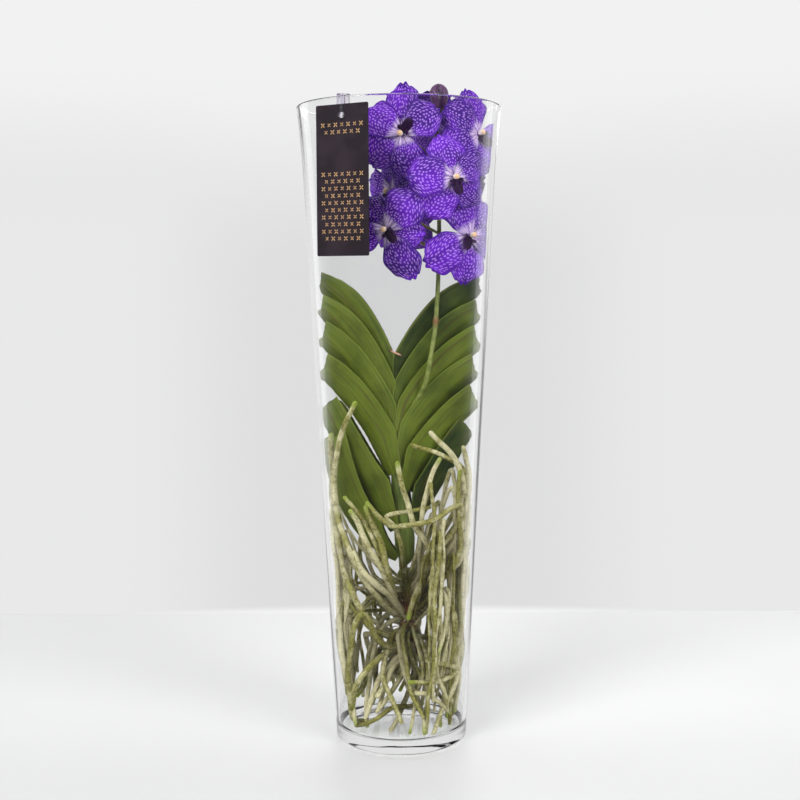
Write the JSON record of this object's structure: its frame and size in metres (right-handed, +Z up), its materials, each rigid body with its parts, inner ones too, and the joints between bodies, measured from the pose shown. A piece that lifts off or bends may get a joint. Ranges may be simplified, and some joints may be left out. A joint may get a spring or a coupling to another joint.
{
  "type": "vanda orchid in tall glass vase",
  "caption": "Bare-root orchid with violet blooms, folded strap leaves and long aerial roots, standing in a tall conical clear glass vase with a dark card hooked on its rim.",
  "frame": {"origin": "centre of the vase's flat underside", "axes": "+Z up along the vase's axis, -Y to the front of the plant, +X to the right seen from the front"},
  "size_m": [0.19, 0.191, 0.6195],
  "materials": {
    "clear_glass": "polished clear glass",
    "clear_plastic": "clear moulded plastic with a faint lilac tint",
    "charcoal_card": "satin printed card",
    "root_skin": "spongy silver-green root skin, mottled brown",
    "leaf_green": "leathery ribbed leaf with a soft sheen",
    "stalk_green": "smooth olive-green flower stalk",
    "dry_brown": "dry fibrous brown",
    "violet_tepals": "velvety violet-blue petal with a lighter net of spots",
    "cream_column": "waxy cream",
    "bud_violet": "smooth brown-violet bud"
  },
  "bodies": {
    "root": {"vase": "clear_glass", "hanging_card": "charcoal_card", "card_hook": "clear_plastic", "stem_and_roots": "root_skin", "leafy_shoot": "leaf_green", "leaf_left_1": "leaf_green", "leaf_left_2": "leaf_green", "leaf_left_3": "leaf_green", "leaf_left_4": "leaf_green", "leaf_left_5": "leaf_green", "leaf_left_6": "leaf_green", "leaf_right_1": "leaf_green", "leaf_right_2": "leaf_green", "leaf_right_3": "leaf_green", "leaf_right_4": "leaf_green", "leaf_right_5": "leaf_green", "leaf_right_6": "leaf_green", "dry_stub": "dry_brown", "flower_stalk": "stalk_green", "bloom_1": "violet_tepals", "bloom_2": "violet_tepals", "bloom_3": "violet_tepals", "bloom_4": "violet_tepals", "bloom_5": "violet_tepals", "bloom_6": "violet_tepals", "bloom_7": "violet_tepals", "bloom_8": "violet_tepals", "bloom_9": "violet_tepals", "bloom_1_column": "cream_column", "bloom_2_column": "cream_column", "bloom_3_column": "cream_column", "bloom_4_column": "cream_column", "bloom_5_column": "cream_column", "bloom_6_column": "cream_column", "bloom_7_column": "cream_column", "bloom_8_column": "cream_column", "bloom_9_column": "cream_column", "bud": "bud_violet"}
  },
  "joints": []
}
